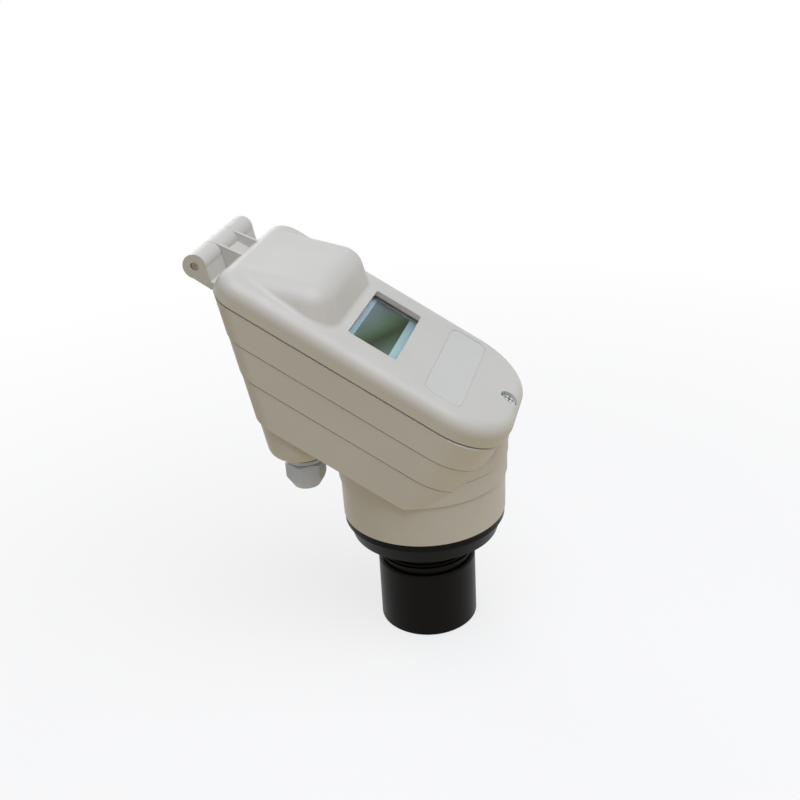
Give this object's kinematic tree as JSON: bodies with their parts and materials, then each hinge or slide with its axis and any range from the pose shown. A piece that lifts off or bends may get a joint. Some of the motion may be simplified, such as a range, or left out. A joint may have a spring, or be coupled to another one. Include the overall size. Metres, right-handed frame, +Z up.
{
  "type": "ultrasonic level meter",
  "caption": "Wedge-shaped instrument head with a hinged lid, display window and cable gland, on a round neck above a black collar and a cylindrical ultrasonic transducer that points down.",
  "frame": {"origin": "centre of the transducer's flat face, the lowest point of the part", "axes": "+Z up the transducer's axis to the lid, -Y to the low front end of the lid with its screw, +Y to the hinge, X across"},
  "size_m": [0.108, 0.1787, 0.2454],
  "materials": {
    "housing_plastic": "fine satin",
    "black_plastic": "satin",
    "gland_plastic": "satin",
    "panel_plastic": "satin",
    "bezel_plastic": "satin",
    "terminal_plastic": "satin",
    "board": "satin",
    "display_face": "gloss",
    "clear_window": "clear",
    "key_rubber": "matte",
    "seal_rubber": "matte",
    "potting": "matte",
    "piezo": "fired ceramic",
    "brass": "turned",
    "steel": "turned"
  },
  "bodies": {
    "meter": {"housing": "housing_plastic", "lid_screw_insert": "brass", "hinge_pin": "steel", "inner_panel": "panel_plastic", "panel_screws": "steel", "main_board": "board", "board_spacers": "panel_plastic", "display_bezel": "bezel_plastic", "display_glass": "display_face", "display_backlight": "bezel_plastic", "key_switches": "black_plastic", "terminal_block": "terminal_plastic", "terminal_screws": "steel", "neck_collar": "black_plastic", "neck_seal_ring": "seal_rubber", "transducer_shell": "black_plastic", "matching_layer": "potting", "piezo_disc": "piezo", "transducer_potting": "potting", "gland_washer": "seal_rubber", "plug_washer": "seal_rubber", "gland_body": "gland_plastic", "gland_seal": "seal_rubber", "blanking_plug": "gland_plastic"},
    "lid": {"lid": "housing_plastic", "lid_gasket": "seal_rubber", "window_pane": "clear_window"},
    "lid_screw": {"lid_screw": "steel"},
    "gland_nut": {"gland_nut": "gland_plastic"},
    "key_left": {"key_left": "key_rubber"},
    "key_middle": {"key_middle": "key_rubber"},
    "key_right": {"key_right": "key_rubber"}
  },
  "joints": [
    {"name": "lid_hinge", "type": "hinge", "parent": "meter", "child": "lid", "pos_m": [0, 0.11388, 0.23854], "axis": [-1, 0, 0], "range_deg": [0, 120]},
    {"name": "lid_screw_turn", "type": "hinge", "parent": "lid", "child": "lid_screw", "pos_m": [0, -0.05151, 0.14955], "axis": [0, -0.515, 0.8572], "continuous": true},
    {"name": "gland_nut_turn", "type": "hinge", "parent": "meter", "child": "gland_nut", "pos_m": [-0.0307, 0.063, 0.112], "axis": [0, 0, -1], "continuous": true},
    {"name": "key_left_press", "type": "slide", "parent": "meter", "child": "key_left", "axis": [0, 0.515, -0.8572], "range_m": [0, 0.001], "stiffness_N_per_m": 1500, "springref_m": -0.0005},
    {"name": "key_middle_press", "type": "slide", "parent": "meter", "child": "key_middle", "axis": [0, 0.515, -0.8572], "range_m": [0, 0.001], "stiffness_N_per_m": 1500, "springref_m": -0.0005},
    {"name": "key_right_press", "type": "slide", "parent": "meter", "child": "key_right", "axis": [0, 0.515, -0.8572], "range_m": [0, 0.001], "stiffness_N_per_m": 1500, "springref_m": -0.0005}
  ]
}
